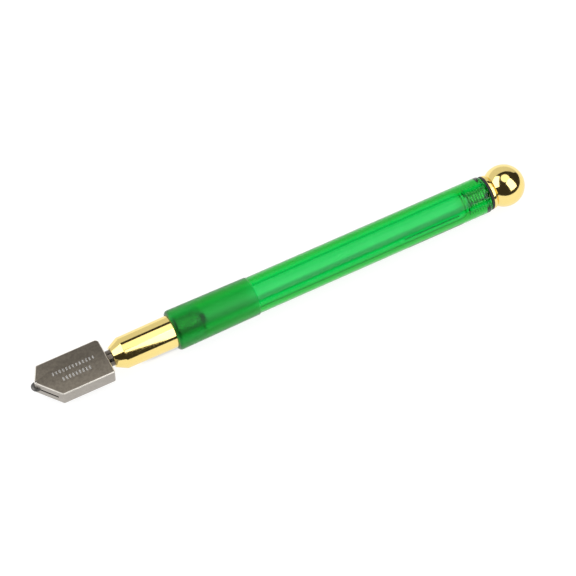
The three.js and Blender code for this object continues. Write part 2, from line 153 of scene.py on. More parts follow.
def rod(start, end, radius):
    """The outline of a plain round rod between two places on its axis."""
    return [(start, 0), (start, radius), (end, radius), (end, 0)]


def stretch(x0, x1, radius, step):
    """Close-set points from x0 to x1 at one radius, for a thread or the wick's strands."""
    count = max(2, round(abs(x1 - x0) / step))
    return [(x0 + (x1 - x0) * k / count, radius) for k in range(count + 1)]


def thread(x0, x1, depth, phase_x, extra=0.0):
    """How much a right-hand thread raises the surface at x and angle, between x0 and x1. It has a crest at
    phase_x where the angle is 0, and extra widens its ridge by that much on each flank."""
    def height(x, angle):
        if not x0 <= x <= x1:
            return 0.0
        turns = (x - phase_x) / THREAD_PITCH - angle / TURN
        off_crest = abs(turns - round(turns)) * THREAD_PITCH
        ridge = min(1.0, max(0.0, (THREAD_FOOT_HALF + extra - off_crest) / THREAD_FLANK))
        fade = min(1.0, (x - x0) / (THREAD_PITCH / 2), (x1 - x) / (THREAD_PITCH / 2))
        return depth * ridge * fade
    return height


def threaded(*threads):
    """What turned() raises on a piece: each (root radius, thread) pair lifts the points on that root."""
    def raised(x, r, angle):
        for root, height in threads:
            if abs(r - root) < SAME:
                return height(x, angle)
        return 0.0
    return raised


# ---- mesh helpers ----
def finish_mesh(name, mesh, sharp=math.radians(32)):
    """Smooth shading with sharp edges where faces meet at a steep angle, and an object for the mesh."""
    work = bmesh.new()
    work.from_mesh(mesh)
    bmesh.ops.remove_doubles(work, verts=work.verts, dist=1e-7)
    bmesh.ops.recalc_face_normals(work, faces=work.faces)
    for face in work.faces:
        face.smooth = True
    for edge in work.edges:
        edge.smooth = len(edge.link_faces) != 2 or edge.calc_face_angle(0.0) < sharp
    work.to_mesh(mesh)
    work.free()
    obj = bpy.data.objects.new(name, mesh)
    bpy.context.scene.collection.objects.link(obj)
    return obj


def mesh_of(name, points, faces):
    mesh = bpy.data.meshes.new(name)
    mesh.from_pydata(points, [], faces)
    return mesh


def turned(name, outline, segments=ROUND, raised=None):
    """Turns an [x, r] outline about the tool's axis. It ends on the axis or closes on itself."""
    closed = outline[0][1] > 1e-9
    points, rings = [], []
    for x, r in outline:
        if r < 1e-9:
            rings.append([len(points)] * segments)
            points.append(to_row(x, 0, 0))
            continue
        rings.append(list(range(len(points), len(points) + segments)))
        for k in range(segments):
            angle = TURN * (k + 0.5) / segments
            radius = r + (raised(x, r, angle) if raised else 0.0)
            points.append(to_row(x, radius * math.cos(angle), radius * math.sin(angle)))
    faces = []
    pairs = list(zip(rings, rings[1:] + rings[:1])) if closed else list(zip(rings, rings[1:]))
    for here, ahead in pairs:
        for k in range(segments):
            j = (k + 1) % segments
            face = [here[k], here[j], ahead[j], ahead[k]]
            unique = list(dict.fromkeys(face))
            if len(unique) > 2:
                faces.append(unique)
    return finish_mesh(name, mesh_of(name, points, faces))


def ring(name, x, mean_radius, wire_radius):
    """An O-ring round the tool's axis."""
    return turned(name, arc(x, mean_radius, wire_radius, 0, TURN, 20)[:-1], 96)


def upright(name, x, y, outline, segments=64):
    """Turns a [z, r] outline about an upright line at x, y."""
    obj = turned(name, outline, segments)
    turn = Matrix.Rotation(-TURN / 4, 4, "Y")
    centre = to_row(0, 0, 0)
    obj.data.transform(Matrix.Translation(to_row(x, y, 0)) @ turn @ Matrix.Translation(-centre))
    return obj


def extruded(name, outline, z0, z1):
    """A flat [x, y] outline raised from z0 to z1."""
    count = len(outline)
    points = [to_row(x, y, z0) for x, y in outline] + [to_row(x, y, z1) for x, y in outline]
    faces = [list(range(count))[::-1], list(range(count, 2 * count))]
    faces += [[k, (k + 1) % count, count + (k + 1) % count, count + k] for k in range(count)]
    return finish_mesh(name, mesh_of(name, points, faces))


def block(name, x0, x1, half_width, z0, z1):
    """A box from x0 to x1, as far as half_width to each side of the axis, and from z0 to z1."""
    corners = [(x0, -half_width), (x1, -half_width), (x1, half_width), (x0, half_width)]
    return extruded(name, corners, z0, z1)


def cut(obj, tools):
    """Subtracts the tools from obj and deletes them."""
    for tool in tools:
        modifier = obj.modifiers.new("cut", "BOOLEAN")
        modifier.operation = "DIFFERENCE"
        modifier.solver = "EXACT"
        modifier.object = tool
    bpy.context.view_layer.update()
    baked = bpy.data.meshes.new_from_object(obj.evaluated_get(bpy.context.evaluated_depsgraph_get()))
    obj.modifiers.clear()
    name = obj.name
    bpy.data.objects.remove(obj)
    for tool in tools:
        bpy.data.objects.remove(tool)
    return finish_mesh(name, baked)


def bevelled(obj, width, segments, least_angle=math.radians(30)):
    """Rounds obj's edges where its faces meet at more than least_angle."""
    work = bmesh.new()
    work.from_mesh(obj.data)
    edges = [e for e in work.edges if e.calc_face_angle(0.0) > least_angle]
    bmesh.ops.bevel(work, geom=edges, offset=width * MM, segments=segments, profile=0.5, affect="EDGES",
                    clamp_overlap=True)
    work.to_mesh(obj.data)
    work.free()
    mesh = obj.data
    name = obj.name
    bpy.data.objects.remove(obj)
    return finish_mesh(name, mesh, math.radians(50))


# ---- materials ----
class Look:
    """A node material with one Principled shader, and short calls for the nodes that feed it."""

    def __init__(self, name):
        self.material = bpy.data.materials.new(name)
        self.material.use_nodes = True
        self.tree = self.material.node_tree
        self.shader = self.tree.nodes["Principled BSDF"]
        self.output = self.tree.nodes["Material Output"]
        coordinates = self.tree.nodes.new("ShaderNodeTexCoord")
        self.position = coordinates.outputs["Object"]
        self.surface = coordinates.outputs["Normal"]

    def set(self, **values):
        for name, value in values.items():
            self.shader.inputs[name.replace("_", " ").title().replace("Ior", "IOR")].default_value = value
        return self

    def node(self, kind, **inputs):
        made = self.tree.nodes.new(kind)
        for name, value in inputs.items():
            socket = made.inputs[name.replace("_", " ").title()]
            if isinstance(value, bpy.types.NodeSocket):
                self.tree.links.new(value, socket)
            else:
                socket.default_value = value
        return made

    def scaled(self, x, y, z):
        mapping = self.node("ShaderNodeMapping", vector=self.position)
        mapping.inputs["Scale"].default_value = (x, y, z)
        return mapping.outputs["Vector"]

    def noise(self, scale, detail=3.0, stretch_by=(1, 1, 1)):
        return self.node("ShaderNodeTexNoise", vector=self.scaled(*stretch_by), scale=scale,
                         detail=detail).outputs["Fac"]

    def remap(self, value, low, high, from_low=0.3, from_high=0.7):
        node = self.node("ShaderNodeMapRange")
        self.tree.links.new(value, node.inputs["Value"])
        node.inputs["From Min"].default_value = from_low
        node.inputs["From Max"].default_value = from_high
        node.inputs["To Min"].default_value = low
        node.inputs["To Max"].default_value = high
        return node.outputs["Result"]

    def blend(self, value, first, second):
        node = self.tree.nodes.new("ShaderNodeMix")
        node.data_type = "RGBA"
        self.tree.links.new(value, node.inputs["Factor"])
        for index, colour in ((6, first), (7, second)):
            if isinstance(colour, bpy.types.NodeSocket):
                self.tree.links.new(colour, node.inputs[index])
            else:
                node.inputs[index].default_value = (*colour, 1)
        return node.outputs[2]

    def math(self, operation, first, second=0.0):
        node = self.tree.nodes.new("ShaderNodeMath")
        node.operation = operation
        for socket, value in zip(node.inputs, (first, second)):
            if isinstance(value, bpy.types.NodeSocket):
                self.tree.links.new(value, socket)
            else:
                socket.default_value = value
        return node.outputs[0]

    def between(self, value, first, second):
        """A number between two others, as blend() is a colour between two others."""
        node = self.tree.nodes.new("ShaderNodeMix")
        sockets = (node.inputs["Factor"], node.inputs[2], node.inputs[3])
        for socket, source in zip(sockets, (value, first, second)):
            self.tree.links.new(source, socket)
        return node.outputs[0]

    def feed(self, name, value):
        self.tree.links.new(value, self.shader.inputs[name])

    def mottle(self, value, first, second):
        """A base colour that wanders between two colours with a noise."""
        self.feed("Base Color", self.blend(self.remap(value, 0, 1), first, second))

    def bump(self, value, distance, strength=1.0):
        node = self.tree.nodes.new("ShaderNodeBump")
        node.inputs["Strength"].default_value = strength
        node.inputs["Distance"].default_value = distance
        self.tree.links.new(value, node.inputs["Height"])
        if self.shader.inputs["Normal"].is_linked:
            self.tree.links.new(self.shader.inputs["Normal"].links[0].from_socket, node.inputs["Normal"])
        self.feed("Normal", node.outputs["Normal"])


def polished_brass():
    look = Look("polished_brass").set(metallic=1.0, ior=1.45)
    look.mottle(look.noise(90, 4), (0.92, 0.73, 0.275), (0.89, 0.70, 0.25))
    look.feed("Roughness", look.remap(look.noise(700, 3), 0.07, 0.13))
    look.bump(look.noise(1500, 2, (1.0, 0.12, 0.12)), 0.000002, 0.15)
    return look.material


def satin_steel():
    """One steel with painted light, set by the way each face points: the two flat faces painted darker as
    shade, with fine flecks, the sides lighter, and a bright painted highlight on the bevels.
    """
    look = Look("satin_steel").set(metallic=1.0, ior=1.5)
    facing = look.node("ShaderNodeSeparateXYZ", vector=look.surface).outputs["Z"]
    uprightness = look.math("ABSOLUTE", facing)
    # flat picks the two flat faces for painted shade, bevel picks the bevels for a painted highlight
    flat = look.remap(uprightness, 0, 1, 0.93, 0.98)
    bevel = look.remap(uprightness, 0, 1, 0.15, 0.45)
    grain = look.noise(5200, 4)
    cloud = look.remap(look.noise(1100, 4), 0, 1)
    # Painted light: lighter sides, flat faces painted darker as shade, bevels painted near white as a
    # highlight
    lit_side_colour = look.blend(cloud, (0.44, 0.41, 0.37), (0.39, 0.36, 0.325))
    bevel_highlight_colour = look.blend(cloud, (0.95, 0.91, 0.84), (0.88, 0.84, 0.77))
    shaded_flat_colour = look.blend(cloud, (0.205, 0.180, 0.145), (0.125, 0.110, 0.088))
    shaded_flat_flecked = look.blend(look.remap(grain, 0, 0.5), shaded_flat_colour, (0.25, 0.22, 0.18))
    look.feed("Base Color", look.blend(flat, look.blend(bevel, lit_side_colour, bevel_highlight_colour), shaded_flat_flecked))
    look.feed("Roughness", look.between(flat, look.remap(grain, 0.40, 0.55), look.remap(grain, 0.36, 0.48)))
    look.bump(grain, 0.000012, 0.35)
    return look.material


def bright_steel():
    look = Look("bright_steel").set(metallic=1.0, ior=1.5)
    look.mottle(look.noise(300, 3), (0.72, 0.70, 0.67), (0.60, 0.58, 0.56))
    look.feed("Roughness", look.remap(look.noise(1400, 3), 0.16, 0.30))
    look.bump(look.noise(3000, 2, (4, 0.2, 0.2)), 0.00001, 0.3)
    return look.material


def dark_steel():
    look = Look("dark_steel").set(metallic=1.0, ior=1.5)
    look.mottle(look.noise(500, 3), (0.20, 0.175, 0.145), (0.12, 0.102, 0.085))
    look.feed("Roughness", look.remap(look.noise(1400, 3), 0.16, 0.28))
    look.bump(look.noise(3000, 2, (4, 0.2, 0.2)), 0.00001, 0.3)
    return look.material


def carbide():
    look = Look("carbide").set(metallic=1.0, ior=1.5)
    grain = look.noise(5200, 3)
    look.mottle(grain, (0.15, 0.145, 0.14), (0.09, 0.087, 0.084))
    look.feed("Roughness", look.remap(grain, 0.34, 0.5))
    look.bump(grain, 0.00001, 0.4)
    return look.material


def black_rubber():
    look = Look("black_rubber").set(metallic=0.0, ior=1.5)
    grain = look.noise(2500, 4)
    look.mottle(grain, (0.012, 0.012, 0.012), (0.03, 0.03, 0.03))
    look.feed("Roughness", look.remap(grain, 0.5, 0.75))
    look.bump(grain, 0.00002, 0.5)
    return look.material


def dark_plastic():
    look = Look("dark_plastic").set(metallic=0.0, ior=1.5)
    grain = look.noise(1800, 3)
    look.mottle(grain, (0.015, 0.02, 0.016), (0.04, 0.05, 0.042))
    look.feed("Roughness", look.remap(grain, 0.4, 0.6))
    look.bump(grain, 0.00001, 0.4)
    return look.material


def wick_fibre():
    look = Look("wick_fibre").set(metallic=0.0, ior=1.4)
    strands = look.noise(900, 5, (0.3, 3, 3))
    look.mottle(strands, (0.78, 0.72, 0.58), (0.55, 0.49, 0.37))
    look.feed("Roughness", look.remap(strands, 0.8, 0.95))
    look.bump(strands, 0.00008, 0.8)
    return look.material


def green_acrylic():
    """Clear green handle: polished tube, less polished where it is bored, satin and darker grip band."""
    look = Look("green_acrylic").set(metallic=0.0, ior=1.49, transmission_weight=1.0)
    look.shader.inputs["Specular Tint"].default_value = (0.40, 0.60, 0.50, 1)
    separate = look.node("ShaderNodeSeparateXYZ", vector=look.position)
    grip_end = FRONT_X + GRIP_LENGTH * MM
    in_grip = look.remap(separate.outputs["X"], 1.0, 0.0, grip_end - 0.0001, grip_end + 0.0003)
    cloud = look.remap(look.noise(120, 3), 0, 1)
    clear = look.blend(cloud, (0.93, 1.0, 0.95), (0.90, 0.985, 0.92))
    matt = look.blend(cloud, (0.58, 0.84, 0.66), (0.55, 0.81, 0.62))
    look.feed("Base Color", look.blend(in_grip, clear, matt))
    fine = look.noise(1600, 3)
    height = look.math("SUBTRACT", separate.outputs["Z"], AXIS_Z)
    across = look.math("POWER", separate.outputs["Y"], 2.0)
    from_axis = look.math("SQRT", look.math("ADD", across, look.math("POWER", height, 2.0)))
    bored = look.remap(from_axis, 1, 0, (SEAL_POCKET_RADIUS + 0.05) * MM, (SEAL_POCKET_RADIUS + 0.25) * MM)
    polished = look.between(bored, look.remap(fine, 0.07, 0.11), look.remap(fine, 0.16, 0.22))
    look.feed("Roughness", look.between(in_grip, polished, look.remap(fine, 0.32, 0.38)))
    look.bump(look.noise(700, 2), 0.000002, 0.2)
    absorb = look.tree.nodes.new("ShaderNodeVolumeAbsorption")
    absorb.inputs["Color"].default_value = (0.0, 0.90, 0.52, 1)
    absorb.inputs["Density"].default_value = 640
    look.tree.links.new(absorb.outputs["Volume"], look.output.inputs["Volume"])
    return look.material


LOOKS = {make.__name__: make() for make in (
    polished_brass, satin_steel, bright_steel, dark_steel, carbide, black_rubber, dark_plastic, wick_fibre,
    green_acrylic)}


def place(obj, body, slot, *nodes):
    """Gives a piece its body, its finish and the CAD nodes it stands for."""
    obj.data.materials.clear()
    obj.data.materials.append(LOOKS[slot])
    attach(obj, body)
    if nodes:
        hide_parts(*nodes)
    return obj


# ---- handle ----
def make_barrel():
    neck_minor = NECK_ROOT_RADIUS + THREAD_CLEARANCE
    plug_minor = PLUG_ROOT_RADIUS + THREAD_CLEARANCE
    outside = [
        *reversed(quarter(HANDLE_EDGE, GRIP_FRONT_RADIUS, 0, GRIP_FRONT_RADIUS - HANDLE_EDGE)),
        # The grip band tapers to its rear, where a small step leads down to the tube.
        (GRIP_LENGTH - 0.15, GRIP_REAR_RADIUS),
        (GRIP_LENGTH, GRIP_REAR_RADIUS - 0.05),
        (GRIP_LENGTH + 0.2, HANDLE_RADIUS + 0.03),
        (GRIP_LENGTH + 0.4, HANDLE_RADIUS),
        *quarter(HANDLE_LENGTH - HANDLE_EDGE, HANDLE_RADIUS, HANDLE_LENGTH, HANDLE_RADIUS - HANDLE_EDGE),
    ]
    dome_end = RESERVOIR_END + RESERVOIR_DOME
    inside = [
        *stretch(HANDLE_LENGTH, PLUG_THREAD_START - THREAD_PITCH, plug_minor, THREAD_STEP),
        (dome_end, plug_minor),
        *reversed(quarter(RESERVOIR_END, RESERVOIR_RADIUS, dome_end, plug_minor)),
        (RESERVOIR_START + 0.3, RESERVOIR_RADIUS),
        (RESERVOIR_START, RESERVOIR_RADIUS + 0.15),
        *stretch(RESERVOIR_START - 0.1, SEAL_POCKET_DEPTH, neck_minor, THREAD_STEP),
        (SEAL_POCKET_DEPTH, SEAL_POCKET_RADIUS),
        (0, SEAL_POCKET_RADIUS),
    ]
    plug_thread = thread(PLUG_THREAD_START - THREAD_PITCH, HANDLE_LENGTH + THREAD_PITCH,
                         PLUG_THREAD_RADIUS - PLUG_ROOT_RADIUS, PLUG_THREAD_START, FEMALE_EXTRA)
    neck_thread = thread(SEAL_POCKET_DEPTH - THREAD_PITCH, RESERVOIR_START - 0.1,
                         NECK_THREAD_RADIUS - NECK_ROOT_RADIUS, NECK_THREAD_START, FEMALE_EXTRA)
    raised = threaded((plug_minor, plug_thread), (neck_minor, neck_thread))
    return place(turned("handle_tube", outside + inside, raised=raised), "handle", "green_acrylic", "barrel")


def make_neck():
    outline = [
        (CONE_FRONT, STEM_BORE_RADIUS + 0.1),
        (CONE_FRONT, CONE_TIP_RADIUS - 0.12),
        (CONE_FRONT + 0.12, CONE_TIP_RADIUS),
        *rounded([(CONE_FRONT + 0.2, CONE_TIP_RADIUS + 0.05), (CONE_REAR, NECK_FRONT_RADIUS),
                  (-0.4, NECK_REAR_RADIUS)], {1: 0.5}),
        (-FIT, NECK_REAR_RADIUS - 0.05),
        (-FIT, NECK_ROOT_RADIUS),
        *stretch(SEAL_POCKET_DEPTH, NECK_END - 0.4, NECK_ROOT_RADIUS, THREAD_STEP),
        (NECK_END, NECK_ROOT_RADIUS - 0.4),
        (NECK_END, CHAMBER_RADIUS),
        (CHAMBER_START, CHAMBER_RADIUS),
        (CHAMBER_START, PORT_RADIUS),
        (STEM_BORE_END, PORT_RADIUS),
        (STEM_BORE_END, STEM_BORE_RADIUS),
        (CONE_FRONT + 0.1, STEM_BORE_RADIUS),
    ]
    ridge = thread(NECK_THREAD_START - 0.5, NECK_END - 0.5, NECK_THREAD_RADIUS - NECK_ROOT_RADIUS,
                   NECK_THREAD_START)
    neck = turned("head_holder", outline, raised=threaded((NECK_ROOT_RADIUS, ridge)))
    hole = upright("hole", SCREW_X, 0, rod(-8, -2.4, SCREW_RADIUS + 0.04))  # as far as the stem's bore
    return place(cut(neck, [hole]), "handle", "polished_brass", "neck")


def make_set_screw():
    outer = -NECK_FRONT_RADIUS + 0.3
    shoulder = -STEM_BORE_RADIUS - 0.1
    outline = rounded([
        (outer, 0), (outer, SCREW_RADIUS), (shoulder, SCREW_RADIUS), (shoulder, SCREW_TIP_RADIUS),
        (-POCKET_FLOOR - GAP, SCREW_TIP_RADIUS), (-POCKET_FLOOR - GAP, 0),
    ], {1: 0.15, 4: 0.15})
    screw = upright("retaining_screw", SCREW_X, 0, outline)
    slot = block("slot", SCREW_X - 2, SCREW_X + 2, 0.2, outer - 1, outer + 0.5)
    return place(cut(screw, [slot]), "handle", "bright_steel", "head_set_screw")


def make_valve():
    """The parts sealed in the neck, apart from the spring: seat, ball and the dark retainer behind them."""
    wall = CHAMBER_RADIUS - FIT
    seat = turned("valve_washer", rounded([
        (CHAMBER_START + GAP, SEAT_HOLE_RADIUS), (CHAMBER_START + GAP, wall), (SEAT_REAR, wall),
        (SEAT_REAR, SEAT_HOLE_RADIUS), (CHAMBER_START + 0.5, SEAT_HOLE_RADIUS)], {1: 0.1, 2: 0.1, 3: 0.1}))
    place(seat, "handle", "black_rubber", "valve_seat")
    ball = turned("check_ball", arc(VALVE_BALL_X, 0, VALVE_BALL_RADIUS, TURN / 2, -TURN / 2, 32), 64)
    place(ball, "head", "bright_steel", "valve_ball")
    retainer = turned("retainer_plug", rounded([
        (RETAINER_START, OIL_HOLE_RADIUS), (RETAINER_START, wall), (NECK_END, wall),
        (NECK_END, RETAINER_NOSE_RADIUS), (RETAINER_NOSE_END, RETAINER_NOSE_RADIUS),
        (RETAINER_NOSE_END, OIL_HOLE_RADIUS), (RETAINER_START + 1, OIL_HOLE_RADIUS)],
        {1: 0.15, 2: 0.1, 4: 0.35, 5: 0.15}))
    place(retainer, "handle", "dark_plastic", "spring_retainer")


def make_spring():
    """A round wire wound into an even helix, the spring that the head squashes as it is pressed; here it is
    built at rest, with a mesh of its own.
    """
    reach = math.sqrt((VALVE_BALL_RADIUS + SPRING_WIRE_RADIUS) ** 2 - SPRING_MEAN_RADIUS ** 2)
    start = VALVE_BALL_X + reach + 0.1
    end = RETAINER_START - SPRING_WIRE_RADIUS - GAP
    steps, sides = SPRING_TURNS * 28, 12
    points, faces = [], []
    for i in range(steps + 1):
        t = i / steps
        angle = t * SPRING_TURNS * TURN
        for k in range(sides):
            around = TURN * k / sides
            radius = SPRING_MEAN_RADIUS + SPRING_WIRE_RADIUS * math.cos(around)
            x = start + (end - start) * t + SPRING_WIRE_RADIUS * math.sin(around)
            points.append(to_row(x, radius * math.cos(angle), radius * math.sin(angle)))
    for i in range(steps):
        for k in range(sides):
            j = (k + 1) % sides
            faces.append([i * sides + k, i * sides + j, (i + 1) * sides + j, (i + 1) * sides + k])
    faces.append(list(range(sides)))
    faces.append(list(range(steps * sides, (steps + 1) * sides)))
    spring = finish_mesh("return_spring", mesh_of("return_spring", points, faces))
    place(spring, "handle", "bright_steel", "valve_spring")
    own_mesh(spring)


# ---- head ----
def head_outline():
    """The head's plan, counter-clockwise from the tip, with its two rear corners rounded."""
    points = [tuple(HEAD_TIP), (HEAD_NEAR_CORNER_X, -HEAD_HALF_WIDTH)]
    for radius, side, start in ((HEAD_NEAR_ROUNDING, -1, -TURN / 4), (HEAD_FAR_ROUNDING, 1, 0.0)):
        points += arc(HEAD_BACK - radius, side * (HEAD_HALF_WIDTH - radius), radius, start, TURN / 4, 8)
    points.append((HEAD_FAR_CORNER_X, HEAD_HALF_WIDTH))
    return points


def make_head():
    body = extruded("head_block", head_outline(), -HEAD_HALF_THICKNESS, HEAD_HALF_THICKNESS)
    body = bevelled(body, HEAD_BEVEL, 3)
    run = (Vector((HEAD_NEAR_CORNER_X, -HEAD_HALF_WIDTH)) - HEAD_TIP).normalized()
    side = math.atan2(run.y, run.x)
    slot_end = WHEEL_CENTRE + run * SLOT_RUN
    outline = []
    for centre, start in ((WHEEL_CENTRE, side + TURN / 4), (slot_end, side - TURN / 4)):
        outline += arc(centre.x, centre.y, SLOT_RADIUS, start, TURN / 2, 24)
    slot = extruded("slot", outline, -SLOT_HALF, SLOT_HALF)
    axle_hole = upright("axle_hole", *WHEEL_CENTRE, rod(-5, 5, AXLE_RADIUS + 0.02))
    socket = turned("socket", rod(STEM_SOCKET_END, HEAD_BACK + 1, STEM_SOCKET_RADIUS + FIT), 64)
    passage = turned("passage", rod(slot_end.x - 1, STEM_SOCKET_END + 1, OIL_HOLE_RADIUS), 48)
    head = cut(body, [slot, axle_hole, socket, passage])
    return place(head, "head", "satin_steel", "cutter_head")


def make_stem():
    groove_start = STEM_SEAL_X - STEM_GROOVE_HALF
    groove_end = STEM_SEAL_X + STEM_GROOVE_HALF
    pin_end = VALVE_BALL_X - VALVE_BALL_RADIUS - GAP
    outside = rounded([
        (STEM_SOCKET_END + FIT, OIL_HOLE_RADIUS), (STEM_SOCKET_END + FIT, STEM_SOCKET_RADIUS),
        (HEAD_BACK + FIT, STEM_SOCKET_RADIUS), (HEAD_BACK + FIT, STEM_RADIUS),
        (groove_start, STEM_RADIUS), (groove_start, STEM_GROOVE_RADIUS),
        (groove_end, STEM_GROOVE_RADIUS), (groove_end, STEM_RADIUS),
        (STEM_NOSE_START, STEM_RADIUS), (STEM_NOSE_START, STEM_NOSE_RADIUS),
        (STEM_NOSE_END, STEM_NOSE_RADIUS), (STEM_NOSE_END, STEM_PIN_RADIUS),
        (pin_end, STEM_PIN_RADIUS), (pin_end, 0),
    ], {1: 0.2, 3: 0.15, 4: 0.1, 7: 0.1, 8: 0.2, 12: 0.15})
    passage_end = [(CROSS_HOLE_X, 0), (CROSS_HOLE_X, OIL_HOLE_RADIUS)]
    stem = turned("push_stem", passage_end + outside, 96)
    reach = SCREW_TIP_RADIUS + 0.1
    pocket = block("pocket", SCREW_X - reach - PRESS_TRAVEL - GAP, SCREW_X + reach, reach,
                   -4, -POCKET_FLOOR + GAP)
    cross = upright("cross", CROSS_HOLE_X, 0, rod(-3, 3, CROSS_HOLE_RADIUS), 32)
    return place(cut(stem, [pocket, cross]), "head", "dark_steel", "head_stem")


def make_wheel():
    edge_half = 0.015
    outline = rounded([
        (-WHEEL_HALF_THICKNESS, AXLE_HOLE_RADIUS), (-WHEEL_HALF_THICKNESS, WHEEL_LAND),
        (-edge_half, WHEEL_RADIUS), (edge_half, WHEEL_RADIUS),
        (WHEEL_HALF_THICKNESS, WHEEL_LAND), (WHEEL_HALF_THICKNESS, AXLE_HOLE_RADIUS),
        (0, AXLE_HOLE_RADIUS)], {1: 0.1, 4: 0.1})
    wheel = upright("wheel", *WHEEL_CENTRE, outline, 96)
    place(wheel, "wheel", "carbide", "cutting_wheel")
    half = HEAD_HALF_THICKNESS - AXLE_INSET
    pin = upright("wheel_pin", *WHEEL_CENTRE, rounded(rod(-half, half, AXLE_RADIUS), {1: 0.12, 2: 0.12}), 48)
    place(pin, "head", "bright_steel", "wheel_axle")


def make_wick():
    radius = OIL_HOLE_RADIUS - 0.1
    end_radius = radius * 0.7
    taper = 0.1
    strands, twist, groove = 9, 0.9, 0.05

    def raised(x, r, angle):
        if r < radius - SAME:
            return 0.0
        return -groove * abs(math.sin(strands / 2 * (angle + x * twist)))

    outline = [
        (WICK_START, 0),
        (WICK_START, end_radius),
        *stretch(WICK_START + taper, WICK_END - taper, radius, 0.25),
        (WICK_END, end_radius),
        (WICK_END, 0),
    ]
    place(turned("wick", outline, 72, raised), "head", "wick_fibre", "oil_wick")


# ---- marks ----
def strokes(name, lines, width, lift, wrap):
    """Raised strokes of one width. wrap(u, v, height) puts a point of the flat drawing on the surface."""
    points, faces = [], []
    for (u0, v0), (u1, v1) in lines:
        along = Vector((u1 - u0, v1 - v0))
        side = Vector((-along.y, along.x)).normalized() * width / 2
        steps = max(1, round(along.length / 0.5))
        first = len(points)
        for k in range(steps + 1):
            middle = Vector((u0, v0)) + along * k / steps
            for sign, height in ((-1, 0.0), (1, 0.0), (1, lift), (-1, lift)):
                points.append(to_row(*wrap(middle.x + sign * side.x, middle.y + sign * side.y, height)))
        for k in range(steps):
            here, ahead = first + 4 * k, first + 4 * k + 4
            faces += [[here + j, here + (j + 1) % 4, ahead + (j + 1) % 4, ahead + j] for j in range(4)]
        faces += [[first + j for j in (3, 2, 1, 0)], [first + 4 * steps + j for j in range(4)]]
    return finish_mesh(name, mesh_of(name, points, faces))


def bars(u0, u1, v0, v1, pitch):
    """A row of equal upright bars."""
    count = round((u1 - u0) / pitch)
    return [((u0 + k * pitch, v0), (u0 + k * pitch, v1)) for k in range(count + 1)]


def make_marks():
    """Plain marks without letters: two etched rows on the head and a printed row on the handle."""
    def flat(u, v, height):
        return u, v, HEAD_HALF_THICKNESS + height

    etched = [line for row in ETCHED_ROWS for line in bars(*row, ETCHED_PITCH)]
    head_marks = strokes("etched_marks", etched, ETCHED_WIDTH, ETCHED_LIFT, flat)
    place(head_marks, "head", "bright_steel")

    def round_handle(u, v, height):
        angle = TURN / 2 - v / HANDLE_RADIUS
        radius = HANDLE_RADIUS + height
        return u, radius * math.cos(angle), radius * math.sin(angle)

    printed = bars(*PRINTED_ROW, PRINTED_PITCH)
    handle_marks = strokes("printed_marks", printed, PRINTED_WIDTH, PRINTED_LIFT, round_handle)
    place(handle_marks, "handle", "dark_plastic")


# ---- cap ----
def make_cap():
    first = math.acos((WAIST_X + 0.25 - BALL_X) / BALL_RADIUS)
    ball = arc(BALL_X, 0, BALL_RADIUS, first, -first, 72)
    plug = [
        (PLUG_START, 0), (PLUG_START, PLUG_ROOT_RADIUS - 0.4), (PLUG_START + 0.4, PLUG_ROOT_RADIUS - 0.001),
        *stretch(PLUG_THREAD_START, HANDLE_LENGTH - 0.3, PLUG_ROOT_RADIUS, THREAD_STEP),
    ]
    flange = rounded([
        (FLANGE_START, PLUG_ROOT_RADIUS - 0.001), (FLANGE_START, FLANGE_RADIUS), (FLANGE_END, FLANGE_RADIUS),
        (WAIST_X, WAIST_RADIUS), ball[0]], {1: 0.2, 2: 0.3, 3: 0.25})
    ridge = thread(PLUG_THREAD_START, HANDLE_LENGTH - 0.3, PLUG_THREAD_RADIUS - PLUG_ROOT_RADIUS,
                   PLUG_THREAD_START)
    end = turned("ball_end", plug + flange + ball[1:], raised=threaded((PLUG_ROOT_RADIUS, ridge)))
    place(end, "cap", "polished_brass", "ball_cap")
    hole = PLUG_ROOT_RADIUS + 0.7
    front, back = HANDLE_LENGTH + FIT, FLANGE_START - FIT
    gasket = turned("cap_seal", rounded([
        (front, hole), (front, GASKET_RADIUS), (back, GASKET_RADIUS), (back, hole),
        (HANDLE_LENGTH + 0.4, hole)], {1: 0.2, 2: 0.2}))
    place(gasket, "gasket", "black_rubber", "cap_gasket")


make_barrel()
make_neck()
make_set_screw()
place(ring("neck_seal_ring", SEAL_POCKET_DEPTH / 2, NECK_SEAL_RADIUS, NECK_SEAL_WIRE),
      "handle", "black_rubber", "neck_o_ring")
make_valve()
make_spring()
make_head()
make_stem()
place(ring("stem_seal_ring", STEM_SEAL_X, STEM_SEAL_RADIUS, STEM_SEAL_WIRE),
      "head", "black_rubber", "stem_o_ring")
make_wick()
make_wheel()
make_marks()
make_cap()


# ---- floor, light, camera ----
# The floor, in metres.
FLOOR_FRONT_Y, FLOOR_BACK_Y, FLOOR_HALF_WIDTH = -1.6, 0.45, 1.8
BEND_RADIUS, BACKDROP_TOP = 0.25, 0.72
GLOW_FADE_START = 0.15  # from here to FLOOR_BACK_Y the glow falls from the floor's to the backdrop's
FLOOR_GLOW, BACKDROP_GLOW = 0.88, 0.60

# The handle's shadow on the floor, in millimetres. It lies on the near side of the line where the clear
# handle gathers the light, and its strength fades over a distance at each edge.
FOCUS_Y = 3.8
SHADOW_DEPTH = 0.45
SHADOW_NEAR_FADE, SHADOW_FAR_FADE = (1.2, 2.6), (6.2, 7.4)  # distances from the focus line
SHADOW_MIDDLE_X, SHADOW_END_FADE = 52, (60, 66)

LAMP_DISTANCE = 1.6  # in metres

CAMERA_AT = (-170.4, -420.3, 806.6)  # in millimetres of the tool
CAMERA_AZIMUTH, CAMERA_ELEVATION = math.radians(26.97), math.radians(59.85)
CAMERA_LENS, SENSOR_WIDTH = 173.3, 36


